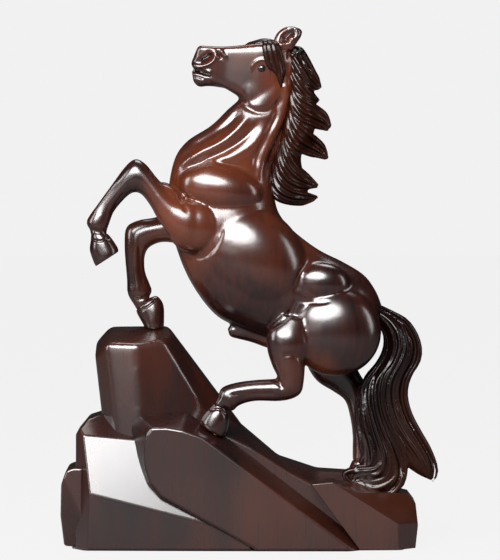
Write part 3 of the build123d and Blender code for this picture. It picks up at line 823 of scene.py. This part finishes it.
class CarveFigure(bpy.types.Operator):
    """Carve the horse's body, neck, head and legs as one skin, and part it at its glue lines"""
    bl_idname = "horse.carve_figure"
    bl_label = "Carve Figure"

    def execute(self, context):
        carving = context.scene.carving
        block = bmesh.new()
        limb(block, BARREL, segments=48)
        add_skull(block)
        limb(block, LOWER_JAW, segments=24, step=3)
        limb(block, SHEATH, segments=24, step=3)
        for rings, y in LEGS:
            limb(block, rings, y, step=4)
        for side in BOTH:
            limb(block, EAR, side * EAR_Y, segments=20, step=2)
            for *shape, y in MUSCLES:
                muscle(block, *shape, side * y)
        mesh = as_mesh("horse_figure", block)
        figure = melt("horse_figure", mesh, carving.figure_grain, carving.softness)
        for strokes in (BODY_STROKES, NECK_STROKES, LEG_STROKES):
            carve(figure, strokes)
        relax(figure, 1)
        self.part_figure(figure)
        return {"FINISHED"}

    def part_figure(self, figure):
        """Cuts the figure at its glue lines and installs each section in its node's place."""
        body = bmesh.new()
        body.from_mesh(figure.data)
        owner = body.faces.layers.int.new("owner")
        for _, ring, y, reach in PARTINGS:
            saw_through(body, ring, y, reach)
        names = ["torso"] + [parting[0] for parting in PARTINGS]
        targets = [sum(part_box(name), Vector()) / 2 for name in names]
        for island in islands_of(body):
            middle = middle_of(island)
            nearest = min(range(len(names)), key=lambda index: (targets[index] - middle).length)
            for face in island:
                face[owner] = nearest
        wood = lacquered_wood("Horse Rosewood")
        for index, name in enumerate(names):
            is_head = name == "head"
            piece = new_piece(f"{name}_carved", section_mesh(body, name, index, finer=is_head))
            if is_head:
                carve(piece, HEAD_STROKES, band=(2, 30))
                carve(piece, EAR_HOLLOW, band=(8, 30), steep=0.2)
            install(piece, "horse_wood", wood, name)
        body.free()
        bpy.data.objects.remove(figure)


class SetEyes(bpy.types.Operator):
    """Set the two polished eye beads into the head"""
    bl_idname = "horse.set_eyes"
    bl_label = "Set Eyes"

    def execute(self, context):
        low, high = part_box("eyes")
        middle = (low + high) / 2 / MM
        beads = bmesh.new()
        for side in BOTH:
            place = Matrix.Translation((middle.x, side * EYE_Y, middle.z))
            bmesh.ops.create_icosphere(beads, subdivisions=5, radius=EYE_RADIUS, matrix=place)
        piece = new_piece("eye_beads", as_mesh("eye_beads", beads))
        piece.data.shade_smooth()
        gloss = plain_finish("Black Bead", (0.006, 0.004, 0.004), 0.06, speckle=0.2)
        install(piece, "eye_bead", gloss, "eyes")
        return {"FINISHED"}


LOOSE_SIZE = 0.9  # thickness of a loose strand, as a share of a guide's own strand
BETWEEN_SIZE = 0.72  # and of the one between two guides
STRAND_INSET = 0.6  # how deep a strand's middle lies in the core
ROOT_POINTS = 14  # points of a strand over which its root rises out of the core
RIDGE_WIDTH = 0.9
CHANNEL_WIDTH = 1.3
CHANNEL_DEPTH = 1.3
FINE_SHARE = 0.8  # grain of the small pieces, as a share of the hair's


def surface_y(tree, x, z, side):
    """How far from the mid-plane the core's surface is at (x, z) on that side, or None off its edge."""
    hit, _, _, _ = tree.ray_cast(Vector((x, side * 80, z)), Vector((0, -side, 0)))
    return None if hit is None else abs(hit.y)


def strand_bundle(name):
    """An empty curve that strand() fills with round strands."""
    bundle = bpy.data.curves.new(name, "CURVE")
    bundle.dimensions = "3D"
    bundle.bevel_depth = MM
    bundle.bevel_resolution = 3
    bundle.use_fill_caps = True
    return bundle


def strand(bundle, path, radius, ends=(0.15, 0.15)):
    """Adds to the bundle a strand along path, rows of (x, y, z), that tapers to the ends' shares."""
    line = bundle.splines.new("POLY")
    line.points.add(len(path) - 1)
    for index, (x, y, z) in enumerate(path):
        share = index / (len(path) - 1)
        swell = min(1.0, ends[0] + share * 5, ends[1] + (1 - share) * 4.5)
        line.points[index].co = (x * MM, y * MM, z * MM, 1)
        line.points[index].radius = radius * swell / MM


def bundle_mesh(bundle):
    """The bundle's strands as one mesh."""
    strands = new_piece(f"{bundle.name}_strands", bundle)
    mesh = evaluated_mesh(strands)
    bpy.data.objects.remove(strands)
    return mesh


def resample(line, count):
    """count evenly spaced points along a guide."""
    dense = curve_through(line, 0.6)
    run = np.concatenate([[0], np.cumsum(np.linalg.norm(np.diff(dense, axis=0), axis=1))])
    wanted = np.linspace(0, run[-1], count)
    return np.column_stack([np.interp(wanted, run, dense[:, axis]) for axis in range(dense.shape[1])])


def between(lines):
    """The lines halfway between neighbouring ones."""
    return [(first + second) / 2 for first, second in zip(lines, lines[1:])]


def depths_along(tree, line, side, edge_depth):
    """Depth of the core's surface along a line, eased; it dwindles where the line runs off the core and
    is edge_depth where the line never meets it."""
    depths = [surface_y(tree, x, z, side) for x, z in line]
    known = [index for index, depth in enumerate(depths) if depth is not None]
    if known:
        depths = np.interp(range(len(line)), known, [depths[index] for index in known])
        last = known[-1]
        for index in range(last + 1, len(line)):
            depths[index] = depths[last] * max(0.25, 1 - (index - last) * 0.12)
    else:
        depths = np.full(len(line), edge_depth)
    return np.convolve(np.pad(depths, 2, "edge"), np.ones(5) / 5, "valid")


def lay_hair(name, core, locks, loose, edge_depth=0.0, root_depth=0.0, crest=1.0):
    """Hair as strands laid over a core on both sides, fused into one carved block.

    Each lock gets a full strand along each of its guides and a thinner one between them, and the tool's
    channels afterwards. Roots lie root_depth deeper than the rest; crest is the height of each ridge.
    """
    carving = bpy.context.scene.carving
    tree = BVHTree.FromBMesh(core)
    bundle = strand_bundle(name)
    lines = [(resample(guide, 26), LOOSE_SIZE) for guide in loose]
    for guides in locks:
        sampled = [resample(guide, 34) for guide in guides]
        lines += [(line, 1.0) for line in sampled]
        lines += [(line, BETWEEN_SIZE) for line in between(sampled)]
    for side in BOTH:
        for line, size in lines:
            depths = depths_along(tree, line, side, edge_depth)
            sunk = STRAND_INSET + root_depth * np.clip(1 - np.arange(len(line)) / ROOT_POINTS, 0, 1)
            path = [(x, side * max(0, depth - s), z) for (x, z), depth, s in zip(line, depths, sunk)]
            strand(bundle, path, carving.strand * size)
    whole = bmesh.new()
    whole.from_mesh(bundle_mesh(bundle))
    bmesh.ops.scale(core, vec=(MM, MM, MM), verts=core.verts)
    pour(core, whole)
    hair = melt(name, mesh_of(name, whole), carving.hair_grain, 3)
    strokes = []
    for guides in locks:
        strokes += [(line, RIDGE_WIDTH, crest) for line in guides]
        sampled = [resample(guide, 12) for guide in guides]
        strokes += [(line, CHANNEL_WIDTH, -CHANNEL_DEPTH) for line in between(sampled)]
    carve(hair, strokes)
    return hair


class CombMane(bpy.types.Operator):
    """Lay the mane's strands over its core"""
    bl_idname = "horse.comb_mane"
    bl_label = "Comb Mane"

    def execute(self, context):
        core = bmesh.new()
        limb(core, MANE_CORE, segments=40, step=4)
        mane = lay_hair("mane_carved", core, MANE_LOCKS, POLL_GUIDES, root_depth=7)
        install(mane, "hair_wood", lacquered_wood("Hair Rosewood With Painted Shade"), "mane")
        return {"FINISHED"}


class CombForelock(bpy.types.Operator):
    """Lay the forelock over the brow"""
    bl_idname = "horse.comb_forelock"
    bl_label = "Comb Forelock"

    def execute(self, context):
        carving = context.scene.carving
        bundle = strand_bundle("forelock")
        self.lay_locks(bundle, carving.strand * 1.05)
        self.lay_brow(bundle, carving.strand * 0.75)
        piece = melt("forelock_carved", bundle_mesh(bundle), carving.hair_grain * FINE_SHARE, 2)
        install(piece, "hair_wood", lacquered_wood("Hair Rosewood With Painted Shade"), "forelock")
        return {"FINISHED"}

    def lay_locks(self, bundle, radius):
        """The locks that hang beside the left eye, just clear of the skull."""
        core = bmesh.new()
        add_skull(core)
        tree = BVHTree.FromBMesh(core)
        core.free()
        clear = 1.5
        for guide in FORELOCK_GUIDES:
            path = []
            for x, z in resample(guide, 24):
                depth = surface_y(tree, x, z, NEAR)
                path.append((x, -(depth if depth is not None else 3.0) - clear, z))
            strand(bundle, path, radius, ends=(0.5, 0.15))

    def lay_brow(self, bundle, radius):
        """The rows over the brow, which fan out to the poll and follow its round."""
        for guide in BROW_GUIDES:
            line = resample(guide, 16)
            for y in (-5, -2, 1, 4):
                path = []
                for index, (x, z) in enumerate(line):
                    spread = 0.3 + 0.7 * index / (len(line) - 1)
                    path.append((x, y * spread, z - 0.8 - 0.06 * y * y))
                strand(bundle, path, radius, ends=(0.15, 0.6))


class CombTail(bpy.types.Operator):
    """Lay the tail's strands over its core, with the curls at its foot"""
    bl_idname = "horse.comb_tail"
    bl_label = "Comb Tail"

    def execute(self, context):
        core = bmesh.new()
        limb(core, TAIL_CORE, segments=40, step=4)
        limb(core, TAIL_FLARE, segments=28, step=4)
        tail = lay_hair("tail_carved", core, TAIL_LOCKS, TAIL_CURLS, edge_depth=5, crest=0.4)
        install(tail, "hair_wood", lacquered_wood("Hair Rosewood With Painted Shade"), "tail")
        return {"FINISHED"}


class ShapeHooves(bpy.types.Operator):
    """Shape the four hooves with their coronet grooves"""
    bl_idname = "horse.shape_hooves"
    bl_label = "Shape Hooves"

    def execute(self, context):
        grain = context.scene.carving.hair_grain * FINE_SHARE
        for name, (y, rings) in HOOVES.items():
            block = bmesh.new()
            limb(block, rings, y, step=3)
            piece = melt(f"{name}_carved", as_mesh(name, block), grain, 8)
            carve(piece, [(HOOF_BANDS[name], BAND_WIDTH, -BAND_DEPTH)])
            install(piece, "hoof_wood", lacquered_wood("Hoof Rosewood"), name)
        return {"FINISHED"}


def at_y(outline, y):
    """An outline of (x, z) as corners at y."""
    return [(x, y, z) for x, z in outline]


def at_z(outline, z):
    """An outline of (x, y) as corners at z."""
    return [(x, y, z) for x, y in outline]


def block_between(*levels, facets=()):
    """A closed block through levels of matching corners, in mm, with its facets cut off."""
    block = bmesh.new()
    rows = [[block.verts.new(corner) for corner in level] for level in levels]
    for first, second in zip(rows, rows[1:]):
        for i in range(len(first)):
            block.faces.new((first[i - 1], first[i], second[i], second[i - 1]))
    block.faces.new(rows[0])
    block.faces.new(rows[-1])
    for (a, b, c), outward in facets:
        a, b, c = Vector(a), Vector(b), Vector(c)
        normal = (b - a).cross(c - a).normalized()
        if normal.dot(Vector(outward)) < 0:
            normal.negate()
        geometry = list(block.verts) + list(block.edges) + list(block.faces)
        bmesh.ops.bisect_plane(block, geom=geometry, plane_co=a, plane_no=normal, clear_outer=True)
        bmesh.ops.holes_fill(block, edges=[e for e in block.edges if e.is_boundary])
    bmesh.ops.recalc_face_normals(block, faces=block.faces)
    return block


class HewRock(bpy.types.Operator):
    """Hew the six blocks of the rock and polish their edges"""
    bl_idname = "horse.hew_rock"
    bl_label = "Hew Rock"

    def execute(self, context):
        wood = lacquered_wood("Rock Rosewood")
        for name, levels, facets, edge in ROCK_BLOCKS:
            block = block_between(*(at_y(outline, y) for outline, y in levels), facets=facets)
            piece = new_piece(f"{name}_hewn", as_mesh(name, block))
            piece.data.shade_smooth()
            polish = piece.modifiers.new("Polish", "BEVEL")
            polish.width = edge * MM
            polish.segments = 4
            polish.limit_method = "ANGLE"
            polish.angle_limit = math.radians(12)
            polish.harden_normals = True
            install(piece, "rock_wood", wood, name)
        levels = at_z(PILLAR_FOOT, PILLAR_FOOT_Z), at_z(PILLAR_HEAD, PILLAR_HEAD_Z)
        mesh = as_mesh("rock_pillar", block_between(*levels, facets=PILLAR_FACETS))
        pillar = melt("rock_pillar_hewn", mesh, context.scene.carving.rock_grain, PILLAR_SANDING)
        install(pillar, "rock_wood", wood, "rock_pillar")
        return {"FINISHED"}


class FinishCarriedNodes(bpy.types.Operator):
    """Give the felt and the hidden dowels and pins their finishes"""
    bl_idname = "horse.finish_carried_nodes"
    bl_label = "Finish Carried Nodes"

    def execute(self, context):
        finishes = {
            "base_felt": plain_finish("Dark Felt", (0.03, 0.026, 0.024), 0.95, speckle=0.5),
            "dowel": plain_finish("Turned Beech", (0.55, 0.36, 0.2), 0.6, speckle=0.15),
            "pins": plain_finish("Drawn Brass", (0.72, 0.52, 0.22), 0.3, metallic=1.0, speckle=0.05),
        }
        for name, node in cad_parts.items():
            for word, material in finishes.items():
                if word in name:
                    node.data.materials.clear()
                    node.data.materials.append(material)
                    break
        return {"FINISHED"}


FLOOR_BOUNCE = (0.13, 0.118, 0.118, 1)  # the floor's colour as the statue meets it
FLOOR_GLOW = 1.075  # the floor as the camera meets it: paper, a little brighter
FLOOR_GLOW_SHARE = 0.92  # the rest is lit floor, which takes the statue's shadow
ROOM_LIGHT = 0.02  # strength of the light from all around
VIEW_WIDTH = 0.385  # what the picture spans at the statue
VIEW_MIDDLE = (0.0084, 0, 0.2050)
LIGHTS = (  # name, place, width, height, power in watts
    ("key_softbox", (-0.38, -1.17, 0.98), 1.4, 0.9, 86),
    ("low_fill", (-0.75, -1.25, 0.33), 0.8, 0.3, 1.4),
    ("left_softbox", (-1.4, -0.5, 0.7), 0.45, 1.0, 13),
    ("right_strip", (1.3, -0.5, 0.6), 0.3, 1.1, 6),
    ("back_softbox", (0.2, 0.6, 1.75), 1.2, 0.7, 17),
)


class SetStage(bpy.types.Operator):
    """Set the pale floor, the soft studio lights, the backdrop and the camera"""
    bl_idname = "horse.set_stage"
    bl_label = "Set Stage"

    def execute(self, context):
        stage = context.scene.stage
        self.lay_floor(stage)
        self.light_backdrop(context, stage)
        context.scene.view_settings.view_transform = "Standard"
        self.hang_lights()
        self.place_camera(context, stage)
        return {"FINISHED"}

    def lay_floor(self, stage):
        """A wide floor that shows as bright paper but throws only a little light back."""
        sheet = bmesh.new()
        bmesh.ops.create_grid(sheet, x_segments=1, y_segments=1, size=6)
        floor = new_piece("floor", mesh_of("floor", sheet))
        material, nodes, links, shader = new_material("Pale Floor")
        wire(links, shader, {"Base Color": FLOOR_BOUNCE, "Roughness": 0.9})
        glow = nodes.new("ShaderNodeEmission")
        wire(links, glow, {"Color": (*(FLOOR_GLOW * c for c in stage.paper), 1)})
        show_to_camera(nodes, links, shader, glow, FLOOR_GLOW_SHARE, "Material Output")
        floor.data.materials.append(material)

    def light_backdrop(self, context, stage):
        """Paper behind the statue, and only a dim light from all around."""
        world = bpy.data.worlds.new("Studio")
        context.scene.world = world
        world.use_nodes = True
        nodes, links = world.node_tree.nodes, world.node_tree.links
        paper = nodes["Background"]
        wire(links, paper, {"Color": (*stage.paper, 1)})
        dim = nodes.new("ShaderNodeBackground")
        wire(links, dim, {"Color": (0.8, 0.85, 0.9, 1), "Strength": ROOM_LIGHT})
        show_to_camera(nodes, links, dim, paper, 1.0, "World Output")

    def hang_lights(self):
        """Oval soft lights, all turned to the middle of the statue."""
        aim = Vector((0, 0, 0.2))
        for name, place, width, height, power in LIGHTS:
            lamp = bpy.data.lights.new(name, "AREA")
            lamp.shape = "ELLIPSE"
            lamp.size = width
            lamp.size_y = height
            lamp.energy = power
            holder = bpy.data.objects.new(name, lamp)
            holder.location = place
            holder.rotation_euler = (Vector(place) - aim).to_track_quat("Z", "Y").to_euler()
            bpy.context.scene.collection.objects.link(holder)

    def place_camera(self, context, stage):
        aim = Vector(VIEW_MIDDLE)
        camera = bpy.data.cameras.new("camera")
        camera.sensor_width = 36
        camera.sensor_fit = "HORIZONTAL"
        camera.lens = camera.sensor_width * stage.camera_distance / VIEW_WIDTH
        holder = bpy.data.objects.new("camera", camera)
        away = Vector((0, -math.cos(stage.camera_rise), math.sin(stage.camera_rise)))
        holder.location = aim + away * stage.camera_distance
        holder.rotation_euler = away.to_track_quat("Z", "Y").to_euler()
        context.scene.collection.objects.link(holder)
        context.scene.camera = holder


class CarvingPanel(bpy.types.Panel):
    """Steps of the carving, in order"""
    bl_idname = "VIEW3D_PT_horse_carving"
    bl_label = "Horse Carving"
    bl_space_type = "VIEW_3D"
    bl_region_type = "UI"
    bl_category = "Horse Carving"

    def draw(self, context):
        for settings in (context.scene.carving, context.scene.finish, context.scene.stage):
            for name in settings.__annotations__:
                self.layout.prop(settings, name)
        for step in STEPS:
            self.layout.operator(step.bl_idname)


STEPS = (
    SetStage, FinishCarriedNodes, HewRock, CarveFigure, SetEyes, CombMane, CombForelock, CombTail,
    ShapeHooves,
)
SETTINGS = {"carving": CarvingSettings, "finish": FinishSettings, "stage": StageSettings}


def register():
    for kind in (*SETTINGS.values(), *STEPS, CarvingPanel):
        bpy.utils.register_class(kind)
    for name, kind in SETTINGS.items():
        setattr(bpy.types.Scene, name, bpy.props.PointerProperty(type=kind))


def unregister():
    for name in SETTINGS:
        delattr(bpy.types.Scene, name)
    for kind in reversed((*SETTINGS.values(), *STEPS, CarvingPanel)):
        bpy.utils.unregister_class(kind)


def main():
    register()
    for step in STEPS:
        group, action = step.bl_idname.split(".")
        getattr(getattr(bpy.ops, group), action)()


if __name__ == "__main__":
    main()
